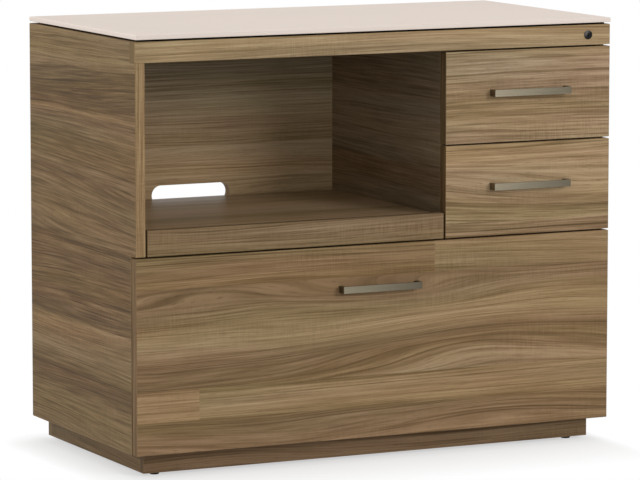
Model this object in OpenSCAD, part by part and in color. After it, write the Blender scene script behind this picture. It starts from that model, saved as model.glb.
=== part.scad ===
// Printer cabinet: a walnut case on a recessed plinth, with an open bay over a pull-out
// printer shelf, two small drawers, a wide file drawer, a gang lock and a floating glass top.
// X runs to the right, Y to the back and Z up. The origin is on the floor, midway between
// the sides, and midway between the outer faces of the pulls and the back of the case.
// Inside from_front(), Y is counted from the outer face of the drawer fronts.

/* [Case] */
// Width over the side panels
case_w = 920; // [820:5:1100]
// Depth from the faces of the fronts to the back edges of the sides
case_d = 471; // [455:1:560]
// Thickness of the case panels, which is the width of the left side's front edge too
panel_t = 18; // [15:0.5:22]
// Thickness of the back panel
back_t = 18; // [12:0.5:22]
// How far the back panel lies in from the back edges of the sides
back_inset = 3; // [0:0.5:6]
// Chamfer along the edges of the boards that show
edge_ease = 0.8; // [0.3:0.1:1.5]

/* [Front layout] */
// Thickness of the drawer fronts and the shelf's fascia
front_t = 19; // [16:0.5:22]
// Air between a closed front and the edges of the case
front_gap = 3; // [1.5:0.5:5]
// Gap between one front and the next
reveal = 3; // [2:0.5:5]
// How far the lowest front ends above the underside of the case
front_lift = 1; // [0:0.5:4]
// Height of the file drawer's front
file_front_h = 339; // [325:1:380]
// Height of each small drawer's front
drawer_front_h = 162; // [150:1:200]
// Width of the small drawers' fronts
drawer_front_w = 329; // [280:1:400]
// Height of the fixed rail under the top
rail_h = 36; // [32:1:48]
// Height of the printer shelf's fascia
fascia_h = 45; // [40:0.5:56]

/* [Base] */
// Height of each levelling foot's pad below the plinth
foot_show = 6; // [4:0.5:12]
// Height of the plinth
plinth_h = 35; // [32:1:60]
// Thickness of the plinth boards
plinth_t = 15; // [12:0.5:16]
// Plinth set in from each side of the case
plinth_side_inset = 25; // [15:1:50]
// Plinth set back from the faces of the fronts
plinth_front_inset = 30; // [24:1:60]
// Plinth set in from the back of the case
plinth_back_inset = 14; // [5:1:40]
// Radius of each foot's pad
foot_r = 8.5; // [7.5:0.5:12]
// Foot's centre in from the plinth's outer side
foot_from_side = 30; // [24:1:36]
// Foot's centre behind the plinth's outer face
foot_from_front = 23; // [23:0.5:30]
// Radius of the foot's stud
stud_r = 4; // [3:0.5:5]
// Length of the stud above the pad
stud_len = 28; // [24:1:30]
// Wall of the bush that the stud screws into
bush_wall = 2; // [1.5:0.5:2]
// Height of the bush's flange
bush_flange_t = 1.5; // [1:0.1:1.6]
// Width of that flange round the bush
bush_flange_w = 1.5; // [1:0.5:1.5]
// How far the stud reaches over its bush
stud_over = 4; // [2:0.5:8]
// Plan size of the blocks that carry the bushes
corner_block = 45; // [42:1:60]

/* [Top] */
// Thickness of the glass
glass_t = 8; // [6:0.5:12]
// Height of the dark board that the glass floats on
glass_gap = 3.5; // [2:0.5:6]
// How far the glass stands proud of the fronts
glass_proud = 3; // [0:0.5:8]
// Dark board set in from each side
underlay_side_inset = 9; // [5:1:30]
// Dark board set back from the faces of the fronts
underlay_front_inset = 6; // [3:1:20]
// Dark board set in from the back
underlay_back_inset = 38; // [10:1:60]

/* [Pulls] */
// Length of each pull
pull_len = 153; // [96:1:200]
// Height of each pull
pull_h = 12; // [9:0.5:16]
// How far each pull stands out from its front
pull_out = 19; // [16:0.5:30]
// Thickness of the pull's bar
pull_bar_t = 4; // [3:0.5:6]
// Thickness of the pull's two legs
pull_leg_t = 6; // [5:0.5:12]
// Rounding of the pull's outer corners
pull_round = 1.2; // [0.5:0.1:2.5]
// Pull's centre below the top edge of its front
pull_drop = 74; // [40:1:90]

/* [Printer bay] */
// Thickness of the shelf board
shelf_t = 18; // [15:0.5:20]
// Height of the fascia's lip over the shelf's surface
shelf_lip = 4.5; // [2:0.5:8]
// Air at each end of the shelf board
shelf_clear = 2; // [1:0.5:4]
// Air behind the shelf board
shelf_back_gap = 5; // [3:1:12]
// Thickness of the runners under the shelf board
cleat_t = 16; // [12:1:20]
// Air between those runners and the top of the file drawer's front
cleat_clear = 2; // [1:0.5:4]
// Length of the cable slot in the back panel
slot_len = 155; // [80:1:220]
// Height of the cable slot
slot_h = 36; // [24:1:50]
// Slot's centre above the shelf's surface
slot_rise = 5.5; // [0:0.5:30]
// Top of the fixed middle panel below the top of the file drawer's front
mid_drop = 9; // [6:0.5:12]

/* [Drawer boxes] */
// Thickness of the box walls
box_t = 12; // [10:0.5:15]
// Thickness of the box bottoms
box_bottom_t = 6; // [4:0.5:9]
// Box bottom above the lower edges of the box walls
box_bottom_rise = 8; // [5:0.5:12]
// Depth of the groove that holds a box bottom
box_groove = 6; // [4:0.5:7]
// Air between a box bottom's edge and the end of its groove
box_groove_clear = 0.5; // [0.2:0.1:1]
// Air between the boxes and the back panel
box_back_gap = 31; // [15:1:60]
// Height of the small drawers' boxes
box_h = 112; // [95:1:125]
// Small box above the lower edge of its front
box_rise = 14; // [10:1:20]
// Air between the file box and the middle panel
file_box_head = 27; // [10:1:60]
// Air between the file box and the bottom panel
file_box_clear = 10; // [5:1:14]
// Distance between the two hanging rails
folder_span = 314; // [300:1:330]
// Thickness of a hanging rail
rail_bar_t = 3; // [2:0.5:4]
// Height of a hanging rail
rail_bar_h = 14; // [10:1:20]
// Width of the tabs at the ends of the hanging rails
rail_tab_w = 14; // [10:1:20]
// Height of those tabs
rail_tab_h = 32; // [24:1:45]
// Thickness of those tabs
rail_tab_t = 1.5; // [1:0.5:3]

/* [Slides] */
// Thickness of a slide, which is the air beside a box
slide_t = 12.7; // [12.2:0.1:14]
// Height of a drawer slide
slide_h = 45; // [38:1:48]
// Height of a shelf slide
shelf_slide_h = 20; // [18:0.5:22]
// Air between the slides and the back panel
slide_back_gap = 26; // [5:1:60]
// Slides set back from the front edge of the case
slide_setback = 2; // [1:0.5:5]
// Thickness of the slides' steel
steel_t = 1.2; // [1:0.1:1.4]
// Running clearance between one member and the next
slide_play = 0.5; // [0.3:0.1:0.7]
// Slide's centre above the bottom of its box
slide_rise = 36; // [32:1:40]

/* [Lock] */
// Lock's centre in from the right side of the case
lock_inset = 45; // [42:1:60]
// Radius of the lock's bezel
bezel_r = 8; // [7.5:0.5:10]
// How far the bezel stands out
bezel_t = 1.2; // [0.8:0.1:2]
// Outer radius of the lock's barrel
barrel_r = 7; // [6.5:0.5:7.5]
// Radius of the lock's turning plug
plug_r = 5.4; // [4.8:0.1:5.6]
// How far the plug's face lies in from the bezel's
plug_sink = 0.4; // [0.2:0.1:0.8]
// Width of the keyway
key_w = 1.4; // [1:0.1:2]
// Height of the keyway
key_h = 7; // [5:0.5:8]
// Depth of the keyway behind the rail's face
key_deep = 12; // [8:1:20]
// Clearance of turning and sliding round parts
turn_play = 0.08; // [0.05:0.01:0.1]
// Length of the barrel behind the rail
barrel_tail = 8; // [7:0.5:12]
// Rim of the nut round the barrel
nut_rim = 3; // [2:0.5:4]
// Thickness of the nut
nut_t = 4; // [3:0.5:6]
// Air round the nut and the bar's arm in the top panel's notch
notch_air = 3; // [2:0.5:6]
// Throw of the crank pin on the cam
crank_r = 6; // [4:0.5:7]
// Radius of the crank pin
crank_pin_r = 2; // [1.5:0.5:2.5]
// Thickness of the cam
cam_t = 2.5; // [2:0.5:3]
// Rim of the cam round the crank pin
cam_rim = 1.5; // [1:0.5:2]
// Air between the barrel and the cam
cam_air = 0.2; // [0.1:0.1:0.4]
// Air round the crank pin in the bar's slot, above and below
crank_play = 0.5; // [0.4:0.1:0.8]
// Air at the two ends of that slot
crank_slot_air = 1; // [0.5:0.5:2]
// Thickness of the bar's arm
arm_t = 2.4; // [2:0.2:3]
// Rim of the arm round the slot
arm_margin = 3.5; // [2.5:0.5:4]
// Width of the locking bar
bar_w = 13.4; // [12:0.2:16]
// Thickness of the locking bar
bar_t = 5.4; // [4:0.2:5.6]
// Air round the locking bar in its groove
bar_play = 0.3; // [0.2:0.1:0.5]
// Groove below the locking bar when it is down
groove_tail = 2; // [1:0.5:6]
// Locking bar's centre line behind the faces of the fronts
bar_y = 35; // [35:0.5:40]
// Locking bar below its lowest stop
bar_tail = 6; // [3:1:12]
// Radius of the stops on the locking bar
stop_r = 3.25; // [2.5:0.25:4]
// How far the stops reach out of the groove
stop_reach = 9.5; // [8:0.5:10]
// Collar round the foot of each stop
stop_collar_w = 1.25; // [0.75:0.25:2]
// Thickness of that collar
stop_collar_t = 1; // [0.5:0.25:1.5]
// Catch above the top of its slide
catch_rise = 4; // [3:0.5:8]
// Height of a catch's tongue
catch_h = 10; // [8:0.5:14]
// Thickness of a catch's plate and tongue
catch_t = 1.8; // [1.2:0.1:2.5]
// Air between a catch's tongue and the side panel
catch_air = 2; // [1:0.5:3]
// Length of a catch's plate
catch_len = 30; // [20:1:45]
// Air between a stop and its catch
catch_play = 1.5; // [1:0.25:2]

/* [Hidden] */
$fn = 48;
eps = 0.01;

// Colours, as they show on the cabinet
walnut = "#8f7558";
walnut_shade = "#5f4b38";
box_wood = "#d3bf9c";
nickel = "#97897c";
zinc = "#b9bcc0";
black = "#1c1a1a";
glass_tint = "#dfd3c9";

// Widths: the case's inner faces, the divider and the bay
case_x = case_w / 2;
inner_x = case_x - panel_t;
divider_x0 = case_x - drawer_front_w;
divider_x1 = divider_x0 + panel_t;

// Depths, counted from the faces of the fronts
front_y = pull_out - (case_d + pull_out) / 2;
case_y0 = front_t + front_gap;
back_y1 = case_d - back_inset;
back_y0 = back_y1 - back_t;
slide_y0 = case_y0 + slide_setback;
slide_len = back_y0 - slide_back_gap - slide_y0;
box_y1 = back_y0 - box_back_gap;

// Heights, from the floor up
case_z0 = foot_show + plinth_h;
file_z0 = case_z0 + front_lift;
file_z1 = file_z0 + file_front_h;
lower_z0 = file_z1 + reveal;
lower_z1 = lower_z0 + drawer_front_h;
upper_z0 = lower_z1 + reveal;
upper_z1 = upper_z0 + drawer_front_h;
rail_z0 = upper_z1 + reveal;
case_z1 = rail_z0 + rail_h;
glass_z0 = case_z1 + glass_gap;
mid_z1 = file_z1 - mid_drop;
mid_z0 = mid_z1 - panel_t;
fascia_z1 = lower_z0 + fascia_h;
shelf_z1 = fascia_z1 - shelf_lip;
shelf_z0 = shelf_z1 - shelf_t;

// Each drawer's box: [left, right, bottom, height]
box_x0 = divider_x1 + slide_t;
box_x1 = inner_x - slide_t;
upper_box_z0 = upper_z0 + box_rise;
lower_box_z0 = lower_z0 + box_rise;
file_box_z0 = case_z0 + panel_t + file_box_clear;
file_box_h = mid_z0 - file_box_head - file_box_z0;
upper_box = [box_x0, box_x1, upper_box_z0, box_h];
lower_box = [box_x0, box_x1, lower_box_z0, box_h];
file_box = [-box_x1, box_x1, file_box_z0, file_box_h];

// Lock and bar: the crank turns from 45 degrees above level to 45 degrees below it
lock_x = case_x - lock_inset;
lock_z = (rail_z0 + case_z1) / 2;
crank_rise = crank_r * sin(45);
barrel_y1 = case_y0 + barrel_tail;
bar_drop = 2 * crank_rise;
bar_x0 = inner_x + bar_play;
groove_d = bar_t + 2 * bar_play;
arm_z = lock_z + crank_rise;
arm_h = 2 * (crank_pin_r + crank_play + arm_margin);
arm_x0 = lock_x - crank_pin_r - arm_margin;
crank_slot_x0 = lock_x + crank_rise - crank_pin_r - crank_slot_air;
crank_slot_x1 = lock_x + crank_r + crank_pin_r + crank_slot_air;
nut_r = barrel_r + nut_rim;
notch_x0 = lock_x - nut_r - notch_air;
notch_y1 = bar_y + bar_w / 2 + notch_air;

// A catch's middle, and its stop's middle when unlocked, above the bottom of the box
catch_z = slide_rise + slide_h / 2 + catch_rise + catch_h / 2;
stop_z = catch_z + catch_h / 2 + catch_play + stop_r;
bar_z0 = file_box_z0 + stop_z - stop_r - bar_tail;

// Feet: centres, and the levels of the blocks and bushes
foot_x = case_x - plinth_side_inset - foot_from_side;
foot_y_front = plinth_front_inset + foot_from_front;
foot_y_rear = case_d - plinth_back_inset - foot_from_front;
pad_seat = 0.3;
block_z0 = foot_show + pad_seat + bush_flange_t;
bush_r = stud_r + turn_play + bush_wall;

module from_front() {
    translate([0, front_y, 0]) children();
}

// Box between two corners, given as a range along each axis
module block(x, y, z) {
    translate([x[0], y[0], z[0]]) cube([x[1] - x[0], y[1] - y[0], z[1] - z[0]]);
}

module chamfered(w, h, e) {
    polygon([[e, 0], [w - e, 0], [w, e], [w, h - e], [w - e, h], [e, h], [0, h - e], [0, e]]);
}

// Box between two corners with a chamfer along all its edges
module eased_block(x, y, z, e = edge_ease) {
    size = [x[1] - x[0], y[1] - y[0], z[1] - z[0]];
    intersection() {
        translate([x[0], y[0], z[0]]) linear_extrude(size[2]) chamfered(size[0], size[1], e);
        translate([x[0], y[1], z[0]]) rotate([90, 0, 0])
            linear_extrude(size[1]) chamfered(size[0], size[2], e);
        translate([x[0], y[0], z[0]]) rotate([90, 0, 90])
            linear_extrude(size[0]) chamfered(size[1], size[2], e);
    }
}

module mirrored_pair() {
    children();
    mirror([1, 0, 0]) children();
}

// Rod along Y between two depths
module rod_y(x, z, r, y) {
    translate([x, y[0], z]) rotate([-90, 0, 0]) cylinder(r = r, h = y[1] - y[0]);
}

// Case panels

module side_board() {
    eased_block([inner_x, case_x], [case_y0, case_d], [case_z0, case_z1]);
}

// Reaches forward beside the bay, between the file drawer's front and the rail
module left_side_panel() {
    color(walnut) from_front() mirror([1, 0, 0]) union() {
        side_board();
        eased_block([inner_x, case_x], [0, case_y0 + 4 * edge_ease], [lower_z0, rail_z0]);
    }
}

module right_side_panel() {
    groove_y = [bar_y - bar_w / 2 - bar_play, bar_y + bar_w / 2 + bar_play];
    color(walnut) from_front() difference() {
        side_board();
        block([inner_x - eps, inner_x + groove_d], groove_y,
              [bar_z0 - bar_drop - groove_tail, case_z1 + eps]);
    }
}

module top_panel() {
    color(walnut) from_front() difference() {
        block([-inner_x, inner_x], [case_y0, back_y1], [case_z1 - panel_t, case_z1]);
        block([notch_x0, inner_x + 1], [case_y0 - 1, notch_y1], [case_z1 - panel_t - 1, case_z1 + 1]);
    }
}

module bottom_panel() {
    color(walnut) from_front() block([-inner_x, inner_x], [case_y0, back_y1], [case_z0, case_z0 + panel_t]);
}

module mid_panel() {
    color(walnut) from_front() block([-inner_x, inner_x], [case_y0, back_y0], [mid_z0, mid_z1]);
}

module divider_panel() {
    color(walnut) from_front()
        block([divider_x0, divider_x1], [case_y0, back_y0], [mid_z1, case_z1 - panel_t]);
}

module back_panel() {
    slot_x = (divider_x0 - inner_x) / 2;
    slot_z = shelf_z1 + slot_rise;
    color(walnut) from_front() difference() {
        block([-inner_x, inner_x], [back_y0, back_y1], [case_z0 + panel_t, case_z1 - panel_t]);
        for (side = [-1, 1])
            rod_y(slot_x + side * (slot_len - slot_h) / 2, slot_z, slot_h / 2, [back_y0 - 1, back_y1 + 1]);
        block([slot_x - (slot_len - slot_h) / 2, slot_x + (slot_len - slot_h) / 2],
              [back_y0 - 1, back_y1 + 1], [slot_z - slot_h / 2, slot_z + slot_h / 2]);
    }
}

module front_rail() {
    color(walnut) from_front() difference() {
        eased_block([-case_x, case_x], [0, case_y0], [rail_z0, case_z1]);
        rod_y(lock_x, lock_z, barrel_r + turn_play, [-1, case_y0 + 1]);
    }
}

// Plinth and feet

plinth_x = case_x - plinth_side_inset;
plinth_z = [foot_show, case_z0];

module plinth_front() {
    color(walnut_shade) from_front()
        block([-plinth_x, plinth_x], [plinth_front_inset, plinth_front_inset + plinth_t], plinth_z);
}

module plinth_rear() {
    y1 = case_d - plinth_back_inset;
    color(walnut_shade) from_front() block([-plinth_x, plinth_x], [y1 - plinth_t, y1], plinth_z);
}

module plinth_sides() {
    y = [plinth_front_inset + plinth_t, case_d - plinth_back_inset - plinth_t];
    color(walnut_shade) from_front() mirrored_pair() block([plinth_x - plinth_t, plinth_x], y, plinth_z);
}

module corner_blocks() {
    inside_x = plinth_x - plinth_t;
    front_y0 = plinth_front_inset + plinth_t;
    rear_y1 = case_d - plinth_back_inset - plinth_t;
    color(box_wood) from_front() mirrored_pair() difference() {
        for (y0 = [front_y0, rear_y1 - corner_block])
            block([inside_x - corner_block, inside_x], [y0, y0 + corner_block], [block_z0, case_z0]);
        for (y = [foot_y_front, foot_y_rear])
            translate([foot_x, y, block_z0 - 1]) cylinder(r = bush_r, h = case_z0);
    }
}

module leveller_bush() {
    flange_r = bush_r + bush_flange_w;
    translate([0, 0, block_z0]) difference() {
        union() {
            translate([0, 0, -bush_flange_t]) cylinder(r = flange_r, h = bush_flange_t);
            cylinder(r = bush_r, h = stud_len - stud_over);
        }
        translate([0, 0, -bush_flange_t - 1]) cylinder(r = stud_r + turn_play, h = stud_len + bush_flange_t);
    }
}

module leveller_bushes() {
    color(zinc) from_front() mirrored_pair() for (y = [foot_y_front, foot_y_rear])
        translate([foot_x, y, 0]) leveller_bush();
}

// Foot with a domed-edge pad, a collar and its stud, turned about Z
module leveller(x, y) {
    rim = 1;
    color(black) from_front() translate([x, y, 0]) rotate_extrude() polygon([
        [0, 0], [foot_r - rim, 0], [foot_r, rim], [foot_r, foot_show - rim], [foot_r - rim, foot_show],
        [stud_r, foot_show], [stud_r, foot_show + stud_len - 1], [stud_r - 1, foot_show + stud_len],
        [0, foot_show + stud_len]
    ]);
}

module leveller_front_left() { leveller(-foot_x, foot_y_front); }
module leveller_front_right() { leveller(foot_x, foot_y_front); }
module leveller_rear_left() { leveller(-foot_x, foot_y_rear); }
module leveller_rear_right() { leveller(foot_x, foot_y_rear); }

// Glass top

module glass_top() {
    color(glass_tint) from_front()
        eased_block([-case_x, case_x], [-glass_proud, case_d], [glass_z0, glass_z0 + glass_t], 1);
}

module glass_underlay() {
    x = case_x - underlay_side_inset;
    color(black) from_front()
        block([-x, x], [underlay_front_inset, case_d - underlay_back_inset], [case_z1, glass_z0]);
}

// Pulls: a bar with a leg at each end, in one piece, centred on its front

module pull_outline() {
    half = pull_len / 2;
    in_r = pull_leg_t / 2;
    difference() {
        union() {
            translate([-half, -pull_out + pull_round]) square([pull_len, pull_out - pull_round]);
            translate([-half + pull_round, -pull_out]) square([pull_len - 2 * pull_round, pull_out]);
            for (side = [-1, 1])
                translate([side * (half - pull_round), -pull_out + pull_round]) circle(r = pull_round);
        }
        translate([-half + pull_leg_t, -pull_out + pull_bar_t + in_r])
            square([pull_len - 2 * pull_leg_t, pull_out]);
        translate([-half + pull_leg_t + in_r, -pull_out + pull_bar_t])
            square([pull_len - 2 * (pull_leg_t + in_r), pull_out]);
        for (side = [-1, 1])
            translate([side * (half - pull_leg_t - in_r), -pull_out + pull_bar_t + in_r]) circle(r = in_r);
    }
}

module pull(x, front_top) {
    color(nickel) from_front()
        translate([x, 0, front_top - pull_drop - pull_h / 2]) linear_extrude(pull_h) pull_outline();
}

// Drawers

module drawer_front(x, z) {
    color(walnut) from_front() eased_block(x, [0, front_t], z);
}

// Groove inside the four walls of a box, for its bottom
module bottom_groove(b) {
    reach = box_t - box_groove;
    z0 = b[2] + box_bottom_rise;
    block([b[0] + reach, b[1] - reach], [front_t + reach, box_y1 - reach], [z0, z0 + box_bottom_t]);
}

module box_sides(b) {
    color(box_wood) from_front() difference() {
        for (x0 = [b[0], b[1] - box_t])
            block([x0, x0 + box_t], [front_t, box_y1], [b[2], b[2] + b[3]]);
        bottom_groove(b);
    }
}

module box_ends(b) {
    color(box_wood) from_front() difference() {
        for (y0 = [front_t, box_y1 - box_t])
            block([b[0] + box_t, b[1] - box_t], [y0, y0 + box_t], [b[2], b[2] + b[3]]);
        bottom_groove(b);
    }
}

module box_bottom(b) {
    reach = box_t - box_groove + box_groove_clear;
    z0 = b[2] + box_bottom_rise;
    color(box_wood) from_front()
        block([b[0] + reach, b[1] - reach], [front_t + reach, box_y1 - reach], [z0, z0 + box_bottom_t]);
}

// Angle on the right wall of a box, whose tongue a stop on the locking bar drops in front of
module catch(b) {
    tongue_y = bar_y + stop_r + catch_play;
    tongue_x1 = inner_x - catch_air;
    height = [b[2] + catch_z - catch_h / 2, b[2] + catch_z + catch_h / 2];
    color(zinc) from_front() {
        block([b[1], b[1] + catch_t], [tongue_y, tongue_y + catch_len], height);
        block([b[1] + catch_t, tongue_x1], [tongue_y, tongue_y + catch_t], height);
    }
}

module hanging_rails() {
    b = file_box;
    mid_y = (front_t + box_y1) / 2;
    z1 = b[2] + b[3];
    x = b[1] - box_t;
    color(zinc) from_front() for (y = [mid_y - folder_span / 2, mid_y + folder_span / 2]) {
        block([-x, x], [y - rail_bar_t / 2, y + rail_bar_t / 2], [z1 - rail_bar_h, z1]);
        mirrored_pair()
            block([x - rail_tab_t, x], [y - rail_tab_w / 2, y + rail_tab_w / 2], [z1 - rail_tab_h, z1]);
    }
}

// Slides: an outer channel on the case, a middle channel inside it, and an inner hat section
// on the box. Their outlines are (distance from the case, height), and run along Y.

outer_depth = slide_t - 1.9;
outer_lip = 3.5;
middle_lip = 3;
middle_u0 = steel_t + slide_play;
middle_depth = outer_depth - 2 * middle_u0;

// Channel of height h that opens away from the case
module channel_outline(h, depth, lip) {
    t = steel_t;
    a = h / 2;
    polygon([
        [0, -a], [depth, -a], [depth, lip - a], [depth - t, lip - a], [depth - t, t - a], [t, t - a],
        [t, a - t], [depth - t, a - t], [depth - t, a - lip], [depth, a - lip], [depth, a], [0, a]
    ]);
}

function middle_h(h) = h - 2 * (steel_t + slide_play);

module outer_outline(h) {
    channel_outline(h, outer_depth, outer_lip);
}

module middle_outline(h) {
    translate([middle_u0, 0]) channel_outline(middle_h(h), middle_depth, middle_lip);
}

module inner_outline(h) {
    leg = middle_h(h) / 2 - middle_lip - slide_play;
    foot = middle_h(h) / 2 - steel_t - slide_play;
    u0 = middle_u0 + steel_t + slide_play;
    u1 = middle_u0 + middle_depth - steel_t - slide_play;
    in = leg - steel_t;
    polygon([
        [u0, -foot], [u1, -foot], [u1, -leg], [slide_t, -leg], [slide_t, leg], [u1, leg], [u1, foot],
        [u0, foot], [u0, in], [slide_t - steel_t, in], [slide_t - steel_t, -in], [u0, -in]
    ]);
}

// Runs an outline along Y on both walls of an opening, at height z
module slide_pair(x, z) {
    color(zinc) from_front() {
        translate([x[0], slide_y0 + slide_len, z]) rotate([90, 0, 0]) linear_extrude(slide_len) children();
        translate([x[1], slide_y0 + slide_len, z]) mirror([1, 0, 0]) rotate([90, 0, 0])
            linear_extrude(slide_len) children();
    }
}

drawer_opening = [divider_x1, inner_x];
file_opening = [-inner_x, inner_x];
bay_opening = [-inner_x, divider_x0];
upper_slide_z = upper_box_z0 + slide_rise;
lower_slide_z = lower_box_z0 + slide_rise;
file_slide_z = file_box_z0 + slide_rise;
shelf_slide_z = (file_z1 + shelf_z0) / 2;

module upper_slide_outers() { slide_pair(drawer_opening, upper_slide_z) outer_outline(slide_h); }
module upper_slide_middles() { slide_pair(drawer_opening, upper_slide_z) middle_outline(slide_h); }
module upper_slide_inners() { slide_pair(drawer_opening, upper_slide_z) inner_outline(slide_h); }
module lower_slide_outers() { slide_pair(drawer_opening, lower_slide_z) outer_outline(slide_h); }
module lower_slide_middles() { slide_pair(drawer_opening, lower_slide_z) middle_outline(slide_h); }
module lower_slide_inners() { slide_pair(drawer_opening, lower_slide_z) inner_outline(slide_h); }
module file_slide_outers() { slide_pair(file_opening, file_slide_z) outer_outline(slide_h); }
module file_slide_middles() { slide_pair(file_opening, file_slide_z) middle_outline(slide_h); }
module file_slide_inners() { slide_pair(file_opening, file_slide_z) inner_outline(slide_h); }
module shelf_slide_outers() { slide_pair(bay_opening, shelf_slide_z) outer_outline(shelf_slide_h); }
module shelf_slide_middles() { slide_pair(bay_opening, shelf_slide_z) middle_outline(shelf_slide_h); }
module shelf_slide_inners() { slide_pair(bay_opening, shelf_slide_z) inner_outline(shelf_slide_h); }

// The two small drawers

module upper_front() { drawer_front([divider_x0, case_x], [upper_z0, upper_z1]); }
module upper_pull() { pull((divider_x0 + case_x) / 2, upper_z1); }
module upper_box_sides() { box_sides(upper_box); }
module upper_box_ends() { box_ends(upper_box); }
module upper_box_bottom() { box_bottom(upper_box); }
module upper_catch() { catch(upper_box); }

module lower_front() { drawer_front([divider_x0, case_x], [lower_z0, lower_z1]); }
module lower_pull() { pull((divider_x0 + case_x) / 2, lower_z1); }
module lower_box_sides() { box_sides(lower_box); }
module lower_box_ends() { box_ends(lower_box); }
module lower_box_bottom() { box_bottom(lower_box); }
module lower_catch() { catch(lower_box); }

// The file drawer

module file_front() { drawer_front([-case_x, case_x], [file_z0, file_z1]); }
module file_pull() { pull(0, file_z1); }
module file_box_sides() { box_sides(file_box); }
module file_box_ends() { box_ends(file_box); }
module file_box_bottom() { box_bottom(file_box); }
module file_catch() { catch(file_box); }

// The printer shelf

module shelf_fascia() {
    drawer_front([-inner_x + reveal, divider_x0 - reveal], [lower_z0, fascia_z1]);
}

module shelf_panel() {
    color(walnut) from_front() block([-inner_x + shelf_clear, divider_x0 - shelf_clear],
                                     [front_t, back_y0 - shelf_back_gap], [shelf_z0, shelf_z1]);
}

module shelf_cleats() {
    left = -inner_x + slide_t;
    right = divider_x0 - slide_t;
    color(box_wood) from_front() for (x0 = [left, right - cleat_t])
        block([x0, x0 + cleat_t], [front_t, slide_y0 + slide_len], [file_z1 + cleat_clear, shelf_z0]);
}

// The lock: housing and nut on the rail, a turning plug with its cam, and the bar with its stops

module lock_housing() {
    color(black) from_front() {
        difference() {
            union() {
                rod_y(lock_x, lock_z, bezel_r, [-bezel_t, 0]);
                rod_y(lock_x, lock_z, barrel_r, [-eps, barrel_y1]);
            }
            rod_y(lock_x, lock_z, plug_r + turn_play, [-bezel_t - 1, barrel_y1 + 1]);
        }
        difference() {
            translate([lock_x, case_y0, lock_z]) rotate([-90, 0, 0]) cylinder(r = nut_r, h = nut_t, $fn = 6);
            rod_y(lock_x, lock_z, barrel_r, [case_y0 - 1, case_y0 + nut_t + 1]);
        }
    }
}

module lock_plug() {
    color(black) from_front() difference() {
        rod_y(lock_x, lock_z, plug_r, [-bezel_t + plug_sink, barrel_y1 + cam_air]);
        block([lock_x - key_w / 2, lock_x + key_w / 2], [-bezel_t - 1, key_deep],
              [lock_z - key_h / 2, lock_z + key_h / 2]);
    }
}

module lock_cam() {
    y0 = barrel_y1 + cam_air;
    pin = [lock_x + crank_rise, lock_z + crank_rise];
    color(zinc) from_front() {
        rod_y(lock_x, lock_z, crank_r + crank_pin_r + cam_rim, [y0, y0 + cam_t]);
        rod_y(pin[0], pin[1], crank_pin_r, [y0 + cam_t - eps, bar_y + arm_t / 2 + cam_rim]);
    }
}

module lock_bar() {
    color(zinc) from_front() block([bar_x0, bar_x0 + bar_t], [bar_y - bar_w / 2, bar_y + bar_w / 2],
                                   [bar_z0, arm_z + arm_h / 2]);
}

// Bracket on the bar, with the slot that the crank pin moves in
module lock_arm() {
    z = [arm_z - arm_h / 2, arm_z + arm_h / 2];
    slot_half = crank_pin_r + crank_play;
    color(zinc) from_front() difference() {
        union() {
            block([arm_x0, bar_x0], [bar_y - arm_t / 2, bar_y + arm_t / 2], z);
            block([bar_x0 - arm_t, bar_x0], [bar_y - bar_w / 2, bar_y + bar_w / 2], z);
        }
        block([crank_slot_x0, crank_slot_x1], [bar_y - arm_t, bar_y + arm_t],
              [arm_z - slot_half, arm_z + slot_half]);
    }
}

// Round stops on the bar, one above each catch
module lock_stops() {
    reach = stop_reach + bar_play;
    collar_r = stop_r + stop_collar_w;
    color(zinc) from_front() for (z0 = [upper_box_z0, lower_box_z0, file_box_z0])
        translate([bar_x0, bar_y, z0 + stop_z]) rotate([0, -90, 0]) {
            cylinder(r = stop_r, h = reach);
            cylinder(r = collar_r, h = stop_collar_t);
        }
}

left_side_panel();
right_side_panel();
top_panel();
bottom_panel();
mid_panel();
divider_panel();
back_panel();
front_rail();
plinth_front();
plinth_rear();
plinth_sides();
corner_blocks();
leveller_bushes();
glass_top();
glass_underlay();
lock_housing();
upper_slide_outers();
lower_slide_outers();
file_slide_outers();
shelf_slide_outers();
upper_slide_middles();
lower_slide_middles();
file_slide_middles();
shelf_slide_middles();
upper_front();
upper_pull();
upper_box_sides();
upper_box_ends();
upper_box_bottom();
upper_slide_inners();
upper_catch();
lower_front();
lower_pull();
lower_box_sides();
lower_box_ends();
lower_box_bottom();
lower_slide_inners();
lower_catch();
file_front();
file_pull();
file_box_sides();
file_box_ends();
file_box_bottom();
file_slide_inners();
file_catch();
hanging_rails();
shelf_fascia();
shelf_panel();
shelf_cleats();
shelf_slide_inners();
lock_plug();
lock_cam();
lock_bar();
lock_arm();
lock_stops();
leveller_front_left();
leveller_front_right();
leveller_rear_left();
leveller_rear_right();
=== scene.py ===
"""Looks of the printer cabinet: walnut laminate, satin glass, nickel pulls, and the small fittings inside.

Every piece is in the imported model's frame: metres, X to the right, Y to the back, Z up.
"""

import math

import bmesh
import bpy
from mathutils import Matrix, Vector


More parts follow.
